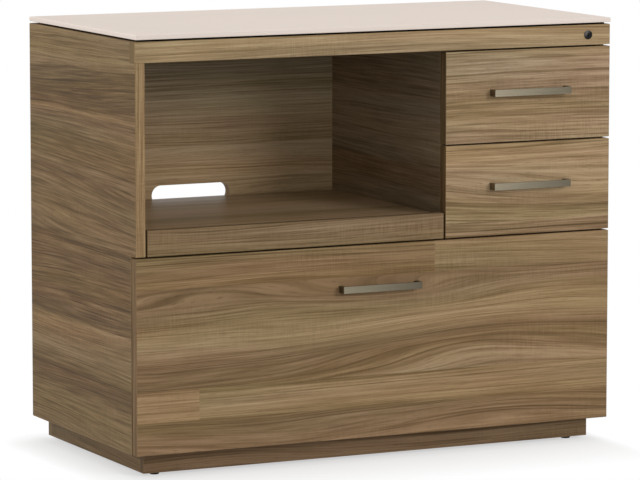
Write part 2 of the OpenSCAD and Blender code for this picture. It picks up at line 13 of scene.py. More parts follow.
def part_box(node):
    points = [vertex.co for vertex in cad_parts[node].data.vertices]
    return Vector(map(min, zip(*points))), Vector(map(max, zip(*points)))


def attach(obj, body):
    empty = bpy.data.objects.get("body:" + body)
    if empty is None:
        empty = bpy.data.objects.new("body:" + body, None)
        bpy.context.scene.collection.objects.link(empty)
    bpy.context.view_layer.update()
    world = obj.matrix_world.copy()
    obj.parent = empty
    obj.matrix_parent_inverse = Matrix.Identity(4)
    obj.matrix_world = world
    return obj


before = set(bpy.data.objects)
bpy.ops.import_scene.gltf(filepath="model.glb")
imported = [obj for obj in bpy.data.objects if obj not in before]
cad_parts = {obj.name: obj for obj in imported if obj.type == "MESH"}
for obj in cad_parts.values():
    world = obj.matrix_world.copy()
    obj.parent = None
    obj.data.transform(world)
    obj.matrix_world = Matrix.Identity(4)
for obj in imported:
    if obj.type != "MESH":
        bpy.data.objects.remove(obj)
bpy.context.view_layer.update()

# Camera of the photograph: its place, its angles in degrees, how far it sees, and its lens
CAMERA_PLACE = (-3.255, -6.670, 1.325)
CAMERA_PITCH = 7.39
CAMERA_YAW = 25.99
CAMERA_SIGHT = 100.0
FOCAL_PIXELS = 4183.3
IMAGE_WIDTH = 640
SENSOR_MM = 36.0

# Light: the world's strength where the background isn't seen, and each lamp's place, aim, diameter in metres
# and power in watts
WHITE = (1.0, 1.0, 1.0, 1.0)
WORLD_FILL = 0.62
LAMPS = {
    "key": ((1.9, -4.6, 1.9), (0.0, 0.0, 0.4), 1.8, 104.0),
    "front": ((-1.3, -4.9, 1.1), (0.0, 0.0, 0.5), 1.8, 28.0),
    "left": ((-4.2, 0.4, 1.2), (0.0, 0.1, 0.4), 1.8, 32.0),
    "top": ((0.0, 0.3, 4.0), (0.0, 0.0, 0.7), 2.0, 23.0),
}

# Floor: the share of light that it sends back, how much of the shadow shows at most, the area where that much
# shows as (low, high) along X and Y, how far beyond each side of it the shadow ends, and half the floor's
# side
FLOOR_BOUNCE = 0.55
FLOOR_SHADOW = 0.45
SHADOW_AREA = ((-0.43, 0.43), (-0.20, 0.17))
SHADOW_REACH = ((0.105, 0.042), (0.235, 0.12))
FLOOR_HALF = 30.0

# A face looks along an axis where its normal's part along that axis is above this
FACING = 0.7
# Noises lie about this value, and so do the changes of lightness that a colour ramp holds
MIDDLE = 0.5


def srgb(red, green, blue):
    """Linear colour from 0-255 display values, by the sRGB curve."""
    shares = [value / 255 for value in (red, green, blue)]
    linear = [s / 12.92 if s <= 0.04045 else ((s + 0.055) / 1.055) ** 2.4 for s in shares]
    return (*linear, 1.0)


class Graph:
    """Adds nodes to a tree. A socket, a number, a vector or a colour can feed any input."""

    def __init__(self, tree):
        self.tree = tree

    def feed(self, socket, value):
        if isinstance(value, bpy.types.NodeSocket):
            self.tree.links.new(value, socket)
        else:
            socket.default_value = value

    def add(self, kind, inputs, **settings):
        node = self.tree.nodes.new(kind)
        for name, value in settings.items():
            setattr(node, name, value)
        for name, value in inputs.items():
            self.feed(node.inputs[name], value)
        return node.outputs[0]

    def math(self, operation, *values):
        return self.add("ShaderNodeMath", dict(enumerate(values)), operation=operation)

    def split(self, vector):
        node = self.tree.nodes.new("ShaderNodeSeparateXYZ")
        self.feed(node.inputs[0], vector)
        return node.outputs

    def coordinates(self, kind):
        return self.split(self.tree.nodes.new("ShaderNodeTexCoord").outputs[kind])

    def noise(self, x, y, z, detail):
        place = self.add("ShaderNodeCombineXYZ", {"X": x, "Y": y, "Z": z})
        return self.add("ShaderNodeTexNoise", {"Vector": place, "Scale": 1.0, "Detail": detail})

    def centred(self, value):
        return self.math("SUBTRACT", value, MIDDLE)

    def scaled(self, value, factor, offset=0.0):
        return self.math("MULTIPLY_ADD", value, factor, offset)

    def remap(self, value, low, high, to_low=0.0, to_high=1.0):
        inputs = {0: value, 1: low, 2: high, 3: to_low, 4: to_high}
        return self.add("ShaderNodeMapRange", inputs)

    def ramp(self, value, stops, interpolation="LINEAR", out=0):
        node = self.tree.nodes.new("ShaderNodeValToRGB")
        self.feed(node.inputs[0], value)
        node.color_ramp.interpolation = interpolation
        elements = node.color_ramp.elements
        elements.remove(elements[1])
        elements[0].position, elements[0].color = stops[0]
        for place, colour in stops[1:]:
            elements.new(place).color = colour
        return node.outputs[out]

    def choose(self, share, first, second):
        """The first number where the share is 0, and the second where it is 1."""
        return self.add("ShaderNodeMix", {0: share, 2: first, 3: second})

    def blend(self, share, first, second, mode="MIX"):
        """The same for colours, or another mix of them."""
        node = self.tree.nodes.new("ShaderNodeMix")
        node.data_type = "RGBA"
        node.blend_type = mode
        for socket, value in ((node.inputs[0], share), (node.inputs[6], first), (node.inputs[7], second)):
            self.feed(socket, value)
        return node.outputs[2]

    def multiplied(self, first, second):
        return self.blend(1.0, first, second, mode="MULTIPLY")

    def grey(self, level):
        return self.add("ShaderNodeCombineColor", {0: level, 1: level, 2: level})

    def bump(self, height, strength, distance):
        return self.add("ShaderNodeBump", {"Height": height, "Strength": strength, "Distance": distance})


def new_material(name):
    """A material, the graph of its nodes, and the inputs of its shader."""
    material = bpy.data.materials.new(name)
    material.use_nodes = True
    tree = material.node_tree
    return material, Graph(tree), tree.nodes["Principled BSDF"].inputs


# Wood: tones of the laminate from dark to light
WALNUT_STOPS = (
    (0.26, srgb(84, 65, 41)),
    (0.40, srgb(112, 89, 60)),
    (0.50, srgb(134, 109, 78)),
    (0.60, srgb(151, 126, 93)),
    (0.76, srgb(172, 147, 113)),
)
# Noises of its figure: scales along and across the grain per metre, shift of the seed, and detail
BANDS = (0.5, 38.0, 7.3, 1.0)
STREAKS = (1.0, 170.0, 11.7, 2.0)
FIBRES = (7.0, 360.0, 17.9, 2.0)
LINES = (0.8, 330.0, 29.1, 1.0)
RIPPLES = (430.0, 30.0, 23.3, 1.0)
RIPPLED_AREAS = (3.0, 14.0, 31.3, 1.0)
RED_AREAS = (1.1, 12.0, 37.7, 1.0)
PALE_AREAS = (0.9, 14.0, 47.3, 1.0)
PORES = (45.0, 1400.0, 41.9, 1.0)
# How much each changes the tone, the noise levels between which dark lines, ripples and pores set in, and how
# strongly the pores' colour covers
BANDS_WEIGHT = 0.17
STREAKS_WEIGHT = 0.25
FIBRES_WEIGHT = 0.48
LINES_WEIGHT = 0.11
RIPPLES_WEIGHT = 0.15
LINES_RANGE = (0.33, 0.40)
RIPPLED_RANGE = (0.45, 0.70)
PORES_RANGE = (0.60, 0.72)
PORES_SHARE = 0.35
PORES_COLOUR = srgb(66, 49, 33)
# Hue: the noise levels between which it turns, the factors of the colour from greenish to reddish, and those
# of its blue from yellowish to pale
HUE_RANGE = (0.36, 0.64)
HUE_FACTORS = ((0.922, 0.948, 0.90, 1.0), (1.005, 0.936, 0.90, 1.0))
PALE_FACTORS = (0.94, 1.06)
# Factor of every board's tone, and the shares of green and blue that a cool value of 1 adds
TONE_SCALE = 1.08
COOL_GREEN = 0.42
COOL_BLUE = 1.2
# Surface: its roughness and what the streaks add to it, the factor of both on a worn board, the shine of
# other and of worn boards, the heights of fibres and pores, and their bump as strength and distance
BASE_ROUGHNESS = 0.44
STREAKS_ROUGHNESS = 0.12
WORN_ROUGHNESS = 0.8
WALNUT_SPECULAR = 0.06
WORN_SPECULAR = 0.10
FIBRES_HEIGHT = 0.5
PORES_HEIGHT = -0.6
WALNUT_BUMP = (0.25, 0.0002)

# Bends of the grain, which swirls within a plank and drifts over a whole board: scales along and across it,
# how far they move it in metres, and detail
SWIRL_SCALES = (1.3, 10.0)
SWIRL_STRENGTH = 0.16
DRIFT_SCALES = (1.2, 5.0)
DRIFT_STRENGTH = 0.05
BEND_DETAIL = 1.0
# Seeds of the figure: a plank's number is held by a colour ramp in steps of PLANK_LEVEL, and PLANK_SEED times
# that is the plank's shift. The wood before a joint and the edge bands have shifts of their own.
PLANK_LEVEL = 0.13
PLANK_SEED = 97.0
JOINT_SEED = 31.0
END_SEED = -2.48
# Cool value of the edge bands, and the share of a board's width over which a pair of cool values turns
END_COOL = 0.10
COOL_DEPTH = 0.5
# The grain's axis, then the other two
GRAIN_AXES = {"X": (0, 1, 2), "Y": (1, 0, 2)}
FIGURE_INPUTS = ("Along", "Across", "Line", "Seed", "Shade", "Tone", "Cool", "Grain", "Short")

# Tone across a board from its top down, or from the back of a flat one, as (share of its width, 0 dark to 1
# light)
PLAIN_TONES = ((0.0, 0.5), (0.3, 0.46), (0.34, 0.54), (0.62, 0.52), (0.65, 0.44), (1.0, 0.5))
RAIL_TONES = ((0.0, 0.48), (0.5, 0.52), (1.0, 0.5))
UPPER_TONES = ((0.0, 0.48), (0.3, 0.52), (0.55, 0.46), (0.75, 0.50), (1.0, 0.53))
LOWER_TONES = (
    (0.0, 0.53), (0.30, 0.575), (0.38, 0.57), (0.45, 0.47), (0.60, 0.435), (0.67, 0.44), (0.73, 0.49),
    (0.80, 0.525), (0.84, 0.42), (1.0, 0.47),
)
FILE_TONES = (
    (0.0, 0.50), (0.15, 0.505), (0.17, 0.435), (0.30, 0.45), (0.33, 0.545), (0.44, 0.53), (0.50, 0.435),
    (0.54, 0.42), (0.62, 0.415), (0.67, 0.43), (0.68, 0.545), (0.82, 0.525), (0.86, 0.445), (1.0, 0.455),
)
SIDE_TONES = (
    (0.0, 0.56), (0.08, 0.54), (0.085, 0.40), (0.20, 0.42), (0.205, 0.58), (0.22, 0.47), (0.33, 0.45),
    (0.34, 0.57), (0.36, 0.46), (0.44, 0.49), (0.51, 0.52), (0.52, 0.42), (0.71, 0.43), (0.72, 0.56),
    (0.84, 0.50), (0.85, 0.42), (0.90, 0.43), (0.91, 0.53), (1.0, 0.50),
)
BACK_TONES = (
    (0.0, 0.43), (0.14, 0.45), (0.17, 0.49), (0.20, 0.545), (0.23, 0.54), (0.26, 0.50), (0.30, 0.525),
    (0.34, 0.58), (0.40, 0.59), (0.46, 0.55), (0.60, 0.50), (0.70, 0.44), (0.85, 0.52), (1.0, 0.48),
)
# Planks in the same direction, as (share of the width where it starts, how strongly its grain swirls). Where
# two meet end to end, the joint's share of the length and how much lighter the wood before it is follow.
ONE_PLANK = ((0.0, 0.2),)
PLAIN_PLANKS = ((0.0, 0.1), (0.32, 0.35), (0.64, 0.1))
LOWER_PLANKS = ((0.0, 0.4), (0.84, 0.1))
FILE_PLANKS = ((0.0, 0.1, 0.62, -0.07), (0.16, 0.75), (0.675, 0.1, 0.127, 0.03), (0.835, 0.6))
SIDE_PLANKS = (
    (0.0, 0.1), (0.083, 0.3), (0.203, 0.1), (0.36, 0.45), (0.515, 0.1), (0.64, 0.3), (0.715, 0.1),
    (0.85, 0.2),
)

# Boards, with the values that walnut() takes
# Their tones are partly their own and partly painted light and shade: the fronts darker from the rail down,
# the shelf's fascia and the plinth darker as in shade, and the shelf lighter than the light in the bay leaves
# it
SIDE = dict(grain="Y", tone=0.90, bold=1.1, short=1.35, ends=0.555, tones=SIDE_TONES, planks=SIDE_PLANKS)
SMALL_FRONT = dict(tone=1.09, short=1.3, ends=0.3)
BOARDS = {
    "front_rail": dict(
        seed=4.04, tone=1.25, cool=0.20, bold=0.86, tones=RAIL_TONES, planks=ONE_PLANK, ends=0.42
    ),
    "upper_front": dict(SMALL_FRONT, seed=6.84, cool=0.24, tones=UPPER_TONES, planks=ONE_PLANK),
    "lower_front": dict(SMALL_FRONT, seed=14.08, cool=0.17, tones=LOWER_TONES, planks=LOWER_PLANKS),
    "file_front": dict(seed=17.68, cool=0.12, bold=0.78, tones=FILE_TONES, planks=FILE_PLANKS, ends=0.42),
    "shelf_fascia": dict(seed=17.27, tone=0.73, cool=0.13, tones=RAIL_TONES, planks=ONE_PLANK),
    "left_side_panel": dict(SIDE, seed=28.18),
    "right_side_panel": dict(SIDE, seed=27.1),
    # The back's pair of cool values greys its top: painted shade under the rail
    "back_panel": dict(seed=34.54, tone=1.09, cool=(0.62, 0.04), bold=0.8, tones=BACK_TONES),
    "divider_panel": dict(grain="Y", seed=35.2, tone=0.97, cool=0.36, bold=0.8, short=1.2),
    "shelf_panel": dict(seed=39.9, tone=1.40, cool=0.27, bold=0.8, worn=True),
    "top_panel": dict(seed=43.3, tone=0.9),
    "bottom_panel": dict(seed=47.7, tone=0.9),
    "mid_panel": dict(seed=51.4, tone=0.9),
    "plinth_front": dict(seed=55.0, tone=0.66, cool=0.12, bold=0.8, planks=ONE_PLANK, ends=0.42),
    "plinth_rear": dict(seed=59.6, tone=0.80, planks=ONE_PLANK),
    "plinth_sides": dict(grain="Y", seed=63.2, tone=0.77, cool=0.05, planks=ONE_PLANK),
}
# Boards in the bay, with the factors of their colour at the front and at the back: painted shade at the
# divider's front, painted light towards the back of both
BAY_PAINTED_SHADING = {"divider_panel": (0.74, 1.14), "shelf_panel": (0.97, 1.24)}


def group_sockets(group, inputs, outputs):
    for name, kind in inputs:
        group.interface.new_socket(name=name, in_out="INPUT", socket_type=kind)
    for name, kind in outputs:
        group.interface.new_socket(name=name, in_out="OUTPUT", socket_type=kind)
    return group.nodes.new("NodeGroupInput").outputs, group.nodes.new("NodeGroupOutput").inputs


def board_level(g, tone, cool, pale):
    """Factors of red, green and blue from a board's tone and cool values and a noise that varies its blue."""
    red = g.scaled(tone, TONE_SCALE)
    green = g.math("MULTIPLY", red, g.scaled(cool, COOL_GREEN, 1.0))
    blue = g.math("MULTIPLY", red, g.scaled(cool, COOL_BLUE, 1.0))
    blue = g.math("MULTIPLY", blue, g.remap(pale, *HUE_RANGE, *PALE_FACTORS))
    return g.add("ShaderNodeCombineColor", {0: red, 1: green, 2: blue})


def walnut_figure():
    """Figure of the laminate from a place along and across its grain, in metres.

    Line is the place across with the bends of the grain, and Shade is the tone that the grain varies.
    """
    group = bpy.data.node_groups.new("walnut_figure", "ShaderNodeTree")
    number = "NodeSocketFloat"
    given, result = group_sockets(
        group,
        [(name, number) for name in FIGURE_INPUTS],
        [("Color", "NodeSocketColor"), ("Roughness", number), ("Height", number)],
    )
    g = Graph(group)
    run = g.math("MULTIPLY", given["Along"], given["Short"])

    def figure(noise, along=run, across=given["Line"]):
        along_scale, across_scale, shift, detail = noise
        seed = g.scaled(given["Seed"], 1.0, shift)
        return g.noise(g.scaled(along, along_scale), g.scaled(across, across_scale), seed, detail)

    bands = figure(BANDS)
    streaks = figure(STREAKS)
    fibres = figure(FIBRES)
    lines = g.remap(figure(LINES), *LINES_RANGE, -1.0, 0.0)
    ripples = g.centred(figure(RIPPLES, given["Along"], given["Across"]))
    rippled = g.remap(figure(RIPPLED_AREAS, given["Along"], given["Across"]), *RIPPLED_RANGE)

    grain = g.scaled(g.math("MULTIPLY", ripples, rippled), RIPPLES_WEIGHT)
    for part, weight in ((bands, BANDS_WEIGHT), (streaks, STREAKS_WEIGHT), (fibres, FIBRES_WEIGHT)):
        grain = g.math("MULTIPLY_ADD", g.centred(part), weight, grain)
    grain = g.math("MULTIPLY_ADD", lines, LINES_WEIGHT, grain)
    colour = g.ramp(g.math("MULTIPLY_ADD", grain, given["Grain"], given["Shade"]), WALNUT_STOPS)

    colour = g.multiplied(colour, g.ramp(figure(RED_AREAS), tuple(zip(HUE_RANGE, HUE_FACTORS))))
    pores = g.remap(figure(PORES), *PORES_RANGE)
    colour = g.blend(g.scaled(pores, PORES_SHARE), colour, PORES_COLOUR)
    level = board_level(g, given["Tone"], given["Cool"], figure(PALE_AREAS))
    g.feed(result["Color"], g.multiplied(colour, level))
    g.feed(result["Roughness"], g.scaled(streaks, STREAKS_ROUGHNESS, BASE_ROUGHNESS))
    g.feed(result["Height"], g.math("MULTIPLY_ADD", pores, PORES_HEIGHT, g.scaled(fibres, FIBRES_HEIGHT)))
    return group


WALNUT_GROUP = walnut_figure()


class Board:
    """Sockets that say where a point of a board lies, and the board's width.

    Along and across are its places by the grain, in metres. Down and share are how far it lies down the width
    and along the length, from 0 to 1. The ends have edge bands, whose grain runs upright.
    """

    def __init__(self, g, node, grain):
        main, first, second = GRAIN_AXES[grain]
        low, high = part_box(node)
        size = [high[axis] - low[axis] for axis in range(3)]
        wide = max((first, second), key=lambda axis: size[axis])
        place = g.coordinates("Object")
        facing = g.coordinates("Normal")
        self.width = size[wide]
        self.is_end = g.math("GREATER_THAN", g.math("ABSOLUTE", facing[main]), FACING)
        self.is_flat = g.math("SUBTRACT", 1.0, self.is_end)
        self.along = g.choose(self.is_end, place[main], place[second])
        self.across = g.choose(self.is_end, g.math("ADD", place[first], place[second]), place[first])
        self.down = g.scaled(place[wide], -1.0 / size[wide], high[wide] / size[wide])
        self.share = g.scaled(place[main], 1.0 / size[main], -low[main] / size[main])


def lay_planks(g, board, planks, seed):
    """How the grain swirls, the figure's seed, which wood is before a joint, and how much lighter it is."""
    stops = []
    for index, (start, swirl, *joint) in enumerate(planks):
        joint_place, lift = joint or (0.0, 0.0)
        stops.append((start, (swirl, PLANK_LEVEL * (index + 1), joint_place, MIDDLE + lift)))
    swirl, level, joint_place = g.split(g.ramp(board.down, stops, interpolation="CONSTANT"))
    lift = g.centred(g.ramp(board.down, stops, interpolation="CONSTANT", out=1))
    before = g.math("LESS_THAN", board.share, joint_place)
    own_seed = g.math("MULTIPLY_ADD", g.math("MULTIPLY", level, board.is_flat), PLANK_SEED, seed)
    own_seed = g.math("MULTIPLY_ADD", g.math("MULTIPLY", before, board.is_flat), JOINT_SEED, own_seed)
    own_seed = g.math("MULTIPLY_ADD", board.is_end, END_SEED, own_seed)
    return swirl, own_seed, before, lift


def bend_grain(g, board, swirl, own_seed, seed):
    """How far the grain is moved across the board, in metres."""

    def waves(noise_seed, along_scale, across_scale):
        along = g.scaled(board.along, along_scale)
        across = g.scaled(board.across, across_scale)
        return g.centred(g.noise(along, across, noise_seed, BEND_DETAIL))

    bend = g.math("MULTIPLY", waves(own_seed, *SWIRL_SCALES), g.scaled(swirl, SWIRL_STRENGTH))
    bend = g.math("MULTIPLY_ADD", waves(seed, *DRIFT_SCALES), DRIFT_STRENGTH, bend)
    return g.math("MULTIPLY", bend, board.is_flat)


def walnut(
    node, seed, grain="X", tone=1.0, cool=0.0, tones=PLAIN_TONES, planks=PLAIN_PLANKS, ends=0.5, bold=1.0,
    short=1.0, worn=False,
):
    """Laminate with its grain along one axis.

    The cool value makes the wood greyer. Of a pair, the first holds at the top and the second from half way
    down. The ends value is the tone of the edge bands, and the bold value is the contrast of the grain. A
    short value above 1 shortens its streaks. A worn board is smoother, as a shelf is.
    """
    material, g, shader = new_material("walnut_" + node)
    board = Board(g, node, grain)
    swirl, own_seed, before, lift = lay_planks(g, board, planks, seed)
    bend = bend_grain(g, board, swirl, own_seed, seed)
    line = g.math("ADD", board.across, bend)

    stops = [(at, (level, level, level, 1.0)) for at, level in tones]
    bent_down = g.scaled(bend, -1.0 / board.width, board.down)
    shade = g.split(g.ramp(bent_down, stops))[0]
    shade = g.choose(board.is_end, g.math("MULTIPLY_ADD", before, lift, shade), ends)
    if isinstance(cool, tuple):
        cool = g.remap(board.down, 0.0, COOL_DEPTH, *cool)
    cool = g.math("MULTIPLY_ADD", board.is_end, END_COOL, g.math("MULTIPLY", cool, board.is_flat))

    figure = g.tree.nodes.new("ShaderNodeGroup")
    figure.node_tree = WALNUT_GROUP
    values = (board.along, board.across, line, own_seed, shade, tone, cool, bold, short)
    for name, value in zip(FIGURE_INPUTS, values):
        g.feed(figure.inputs[name], value)
    g.feed(shader["Base Color"], figure.outputs["Color"])
    g.feed(shader["Roughness"], g.scaled(figure.outputs["Roughness"], WORN_ROUGHNESS if worn else 1.0))
    g.feed(shader["Normal"], g.bump(figure.outputs["Height"], *WALNUT_BUMP))
    shader["Specular IOR Level"].default_value = WORN_SPECULAR if worn else WALNUT_SPECULAR
    return material


# Fine marks of the other materials: detail, the noise levels where they are darkest and lightest, the shares
# of the roughness that they add and that is there without them, and how deep they are
MARKS_DETAIL = 3.0
MARKS_RANGE = (0.35, 0.65)
MARKS_ROUGHNESS = (0.2, 0.9)
MARKS_DEPTH = 0.0001
# Pulls: the factor of each one's colour, and the factors along each from left to right, both painted
# reflection
PULL_PAINTED_LEVEL = {"upper_pull": 1.05, "lower_pull": 1.05, "file_pull": 0.95}
PULL_PAINTED_REFLECTION = (1.25, 0.62)
# Lock: weights of the axes in its painted highlight from the lower right to the upper left, and the factors
# of its colour
LOCK_PAINTED_HIGHLIGHT = ((-1.6, 0.0, 1.6), 0.2, 9.0)
# Glass: factors of its colour on the faces across X and across Y, painted light on the left and right edges
# and painted shade on the front and back ones
GLASS_PAINTED_EDGES = (1.24, 0.88)


def plain(name, colour, roughness, grain, metallic=0.0, spread=0.06, bump=0.05, specular=0.5):
    """One colour with fine marks, whose scales per metre along the axes are the grain.

    Unequal scales give brushing or fibres. The spread is how much darker and lighter the marks are.
    """
    material, g, shader = new_material(name)
    place = g.coordinates("Object")
    marks = g.noise(*[g.scaled(place[i], grain[i]) for i in range(3)], MARKS_DETAIL)
    dark = tuple(value * (1 - spread) for value in colour[:3]) + (1.0,)
    light = tuple(min(1.0, value * (1 + spread)) for value in colour[:3]) + (1.0,)
    g.feed(shader["Base Color"], g.ramp(marks, tuple(zip(MARKS_RANGE, (dark, light)))))
    g.feed(shader["Roughness"], g.scaled(marks, *[share * roughness for share in MARKS_ROUGHNESS]))
    if bump:
        g.feed(shader["Normal"], g.bump(marks, bump, MARKS_DEPTH))
    shader["Metallic"].default_value = metallic
    shader["Specular IOR Level"].default_value = specular
    return material


def scale_colour(material, level):
    """Multiplies a material's base colour by a level."""
    g = Graph(material.node_tree)
    socket = material.node_tree.nodes["Principled BSDF"].inputs["Base Color"]
    g.feed(socket, g.multiplied(socket.links[0].from_socket, g.grey(level)))
    return material


def paint_light_ramp(material, weights, low, high):
    """Paints light, shade and reflection into a material's base colour: scales it along its node's box, from
    the low factor to the high one.
    """
    g = Graph(material.node_tree)
    place = g.coordinates("Generated")
    run = 0.0
    for axis, weight in enumerate(weights):
        run = g.math("MULTIPLY_ADD", place[axis], weight, run)
    return scale_colour(material, g.remap(run, 0.0, 1.0, low, high))


def paint_facing_light(material, factors):
    """Scales a material's base colour on the faces across X and across Y: painted light and shade by facing.
    """
    g = Graph(material.node_tree)
    facing = g.coordinates("Normal")
    level = 1.0
    for axis, factor in enumerate(factors):
        is_facing = g.math("GREATER_THAN", g.math("ABSOLUTE", facing[axis]), FACING)
        level = g.math("MULTIPLY", level, g.scaled(is_facing, factor - 1.0, 1.0))
    return scale_colour(material, level)


def dress(material, *nodes):
    for node in nodes:
        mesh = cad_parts[node].data
        mesh.materials.clear()
        mesh.materials.append(material)


def dress_walnut():
    for node, look in BOARDS.items():
        material = walnut(node, **look)
        # Painted light and shade along the bay's boards, from front to back
        if node in BAY_PAINTED_SHADING:
            paint_light_ramp(material, (0.0, 1.0, 0.0), *BAY_PAINTED_SHADING[node])
        dress(material, node)


def dress_pulls():
    # Painted reflection: the upper pulls lighter than the file pull, each pull lighter at the left than at
    # the right
    for node, painted_level in PULL_PAINTED_LEVEL.items():
        nickel = plain(
            "nickel_" + node, srgb(110, 103, 88), 0.36, grain=(30.0, 900.0, 900.0), metallic=1.0, spread=0.05
        )
        dress(paint_light_ramp(nickel, (1.0, 0.0, 0.0), *[factor * painted_level for factor in PULL_PAINTED_REFLECTION]), node)


def dress_rest():
    """Gives all other nodes their materials, by the ends of their names. Returns those of the fittings."""
    birch = plain("birch", srgb(206, 184, 148), 0.55, grain=(14.0, 14.0, 260.0), spread=0.10)
    zinc = plain("zinc", srgb(178, 180, 183), 0.34, grain=(90.0, 90.0, 90.0), metallic=1.0, spread=0.05)
    board = plain("black_board", srgb(5, 4, 3), 0.8, grain=(200.0, 200.0, 200.0), specular=0.02)
    foot = plain("foot_nylon", srgb(9, 8, 8), 0.5, grain=(400.0, 400.0, 400.0), specular=0.1)
    lock = plain("lock_black", srgb(30, 29, 28), 0.30, grain=(500.0, 500.0, 500.0), specular=0.12)
    glass = plain(
        "satin_glass", srgb(227, 214, 204), 0.6, grain=(3.0, 3.0, 3.0), spread=0.01, bump=0.0, specular=0.05
    )
    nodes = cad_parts
    for kinds, material in (
        (("box_sides", "box_ends", "box_bottom", "corner_blocks", "shelf_cleats"), birch),
        (("slide_outers", "slide_middles", "slide_inners", "catch", "hanging_rails"), zinc),
        (("leveller_bushes", "lock_cam", "lock_bar", "lock_arm", "lock_stops"), zinc),
        (("glass_underlay",), board),
        # Painted light on the glass's left and right edges, painted shade on its front and back ones
        (("glass_top",), paint_facing_light(glass, GLASS_PAINTED_EDGES)),
        # Painted highlight on the lock, lighter towards its upper left
        (("lock_housing", "lock_plug"), paint_light_ramp(lock, *LOCK_PAINTED_HIGHLIGHT)),
        (("leveller_front_left", "leveller_front_right", "leveller_rear_left", "leveller_rear_right"), foot),
    ):
        dress(material, *[node for node in nodes if node.endswith(kinds)])
    return zinc, foot


# Fittings: screws, bumpers and the slides' release levers, in metres. Profiles are (radius, height), and that
# of the screw's head is in shares of its size.
PAN_PROFILE = ((1.0, 0.0), (1.0, 0.30), (0.94, 0.62), (0.80, 0.88), (0.60, 1.0))
BUMPER_PROFILE = ((0.0035, 0.0), (0.0035, 0.0009), (0.0031, 0.0017), (0.0022, 0.0023), (0.0009, 0.0025))
TURN_STEPS = 24
# Cross recess of a screw: its arms and their half width as shares of the radius, its floor's size as a share
# of its rim's, and the floor's height as a share of the head's
RECESS_ARM = 0.46
RECESS_HALF = 0.11
RECESS_TAPER = 0.55
RECESS_FLOOR = 0.35
# Radius and height of the screws' heads
SMALL_SCREW = (0.0028, 0.0015)
LARGE_SCREW = (0.0040, 0.0021)
# Lever ends: centre, radius, first and last angle; and its height steps: height, inset
LEVER_ENDS = ((0.016, 0.0027, -82, 82), (-0.013, 0.0055, 82, 278))
LEVER_STEPS = ((0.0, 0.0), (0.0019, 0.0), (0.0024, 0.0005))
LEVER_ARC_STEPS = 8
# Places of the fittings on their parts
LEVER_PLACE = 0.147
INNER_WEB = 0.0081
SLIDE_SCREWS = (0.05, 0.22, 0.53, 0.88)
BOX_WALL = 0.012
FRONT_SCREW_IN = 0.030
FRONT_SCREW_RISE = 0.028
FRONT_SCREW_DROP = 0.018
PULL_SCREW_IN = 0.003
CATCH_THICK = 0.0018
CATCH_SCREWS = (0.006, 0.019)
TAB_THICK = 0.0015
TAB_HALF = 0.007
TAB_SCREW_DROP = 0.0235
SMALL_BUMPERS_X = (0.140, 0.453)
BUMPER_IN = 0.012


def stacked(rings):
    """Closed loops of points joined in turn, and closed at the foot. Also gives the last loop."""
    form = bmesh.new()
    loops = [[form.verts.new(point) for point in ring] for ring in rings]
    for low, high in zip(loops, loops[1:]):
        for here in range(len(low)):
            after = (here + 1) % len(low)
            form.faces.new((low[here], low[after], high[after], high[here])).smooth = True
    form.faces.new(loops[0][::-1])
    return form, loops[-1]


def turned(profile):
    """Rings about Z for (radius, height) points."""
    turn = [2 * math.pi * step / TURN_STEPS for step in range(TURN_STEPS)]
    return [[(r * math.cos(a), r * math.sin(a), z) for a in turn] for r, z in profile]


def screw_head(radius, height):
    """Pan head with a cross recess, its foot at the origin and its crown along Z."""
    form, crown = stacked(turned([(radius * wide, height * tall) for wide, tall in PAN_PROFILE]))
    arm = RECESS_ARM * radius
    half = RECESS_HALF * radius
    corners = ((half, arm), (half, half), (arm, half))
    outline = []
    for quarter in range(4):
        turn = Matrix.Rotation(-quarter * math.pi / 2, 2)
        outline += [turn @ Vector(corner) for corner in corners]
    rim = [form.verts.new((x, y, height)) for x, y in outline]
    low = [form.verts.new((RECESS_TAPER * x, RECESS_TAPER * y, RECESS_FLOOR * height)) for x, y in outline]
    edges = [form.edges.get((crown[i - 1], crown[i])) for i in range(len(crown))]
    edges += [form.edges.new((rim[i - 1], rim[i])) for i in range(len(rim))]
    bmesh.ops.triangle_fill(form, edges=edges, use_beauty=True)
    for i in range(len(rim)):
        form.faces.new((rim[i - 1], rim[i], low[i], low[i - 1]))
    form.faces.new(low)
    bmesh.ops.recalc_face_normals(form, faces=form.faces)
    return form


def bumper():
    """Soft domed pad, its foot at the origin."""
    form, crown = stacked(turned(BUMPER_PROFILE))
    form.faces.new(crown)
    return form


def lever():
    """Teardrop release lever of a slide, its foot at the origin and its tail along X."""
    rings = []
    for height, inset in LEVER_STEPS:
        ring = []
        for centre, radius, first, last in LEVER_ENDS:
            for step in range(LEVER_ARC_STEPS + 1):
                angle = math.radians(first + (last - first) * step / LEVER_ARC_STEPS)
                reach = radius - inset
                ring.append((centre + reach * math.cos(angle), reach * math.sin(angle), height))
        rings.append(ring)
    form, crown = stacked(rings)
    form.faces.new(crown)
    return form


def fit(name, form, places, body, material):
    """One piece of copies of a form, each with its foot at a place and its crown along a direction."""
    part = bpy.data.meshes.new(name + "_form")
    form.to_mesh(part)
    whole = bmesh.new()
    for place, direction in places:
        before = len(whole.verts)
        whole.from_mesh(part)
        whole.verts.ensure_lookup_table()
        turn = Vector(direction).to_track_quat("Z", "Y").to_matrix().to_4x4()
        bmesh.ops.transform(whole, matrix=Matrix.Translation(place) @ turn, verts=whole.verts[before:])
    mesh = bpy.data.meshes.new(name)
    whole.to_mesh(mesh)
    bpy.data.meshes.remove(part)
    mesh.materials.append(material)
    piece = bpy.data.objects.new(name, mesh)
    bpy.context.scene.collection.objects.link(piece)
    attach(piece, body)


